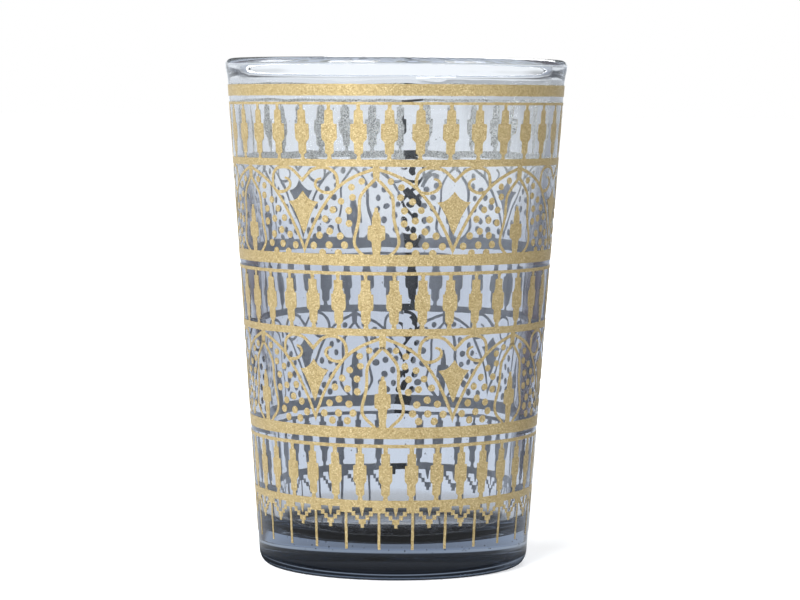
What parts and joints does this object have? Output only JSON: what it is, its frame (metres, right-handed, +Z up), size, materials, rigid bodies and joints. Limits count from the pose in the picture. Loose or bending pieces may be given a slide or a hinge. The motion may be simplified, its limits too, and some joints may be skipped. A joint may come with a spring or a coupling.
{
  "type": "tea glass",
  "caption": "Tapered clear tea glass with a thick foot, an open cup inside, and a fired gold print of bands, balusters and arcades round its outside.",
  "frame": {"origin": "centre of the foot, on the plane that the glass stands on", "axes": "+Z up along the axis of the glass; -Y faces the viewer; the seam of the print is near +Y"},
  "size_m": [0.0614, 0.0614, 0.0903],
  "materials": {
    "glass": "clear, with a faint blue-grey tint and small bubbles",
    "gold": "fired matt gold with a fine grain"
  },
  "bodies": {
    "root": {"glass_body": "glass", "rim_band": "gold", "rim_line": "gold", "upper_balusters": "gold", "upper_ring": "gold", "upper_tracery": "gold", "upper_finials": "gold", "upper_diamonds": "gold", "upper_dots": "gold", "middle_band": "gold", "middle_line": "gold", "middle_balusters": "gold", "middle_ring": "gold", "lower_tracery": "gold", "lower_finials": "gold", "lower_diamonds": "gold", "lower_dots": "gold", "lower_band": "gold", "lower_line": "gold", "lower_balusters": "gold", "lower_ring": "gold", "hem_chevrons": "gold", "hem_sticks": "gold"}
  },
  "joints": []
}
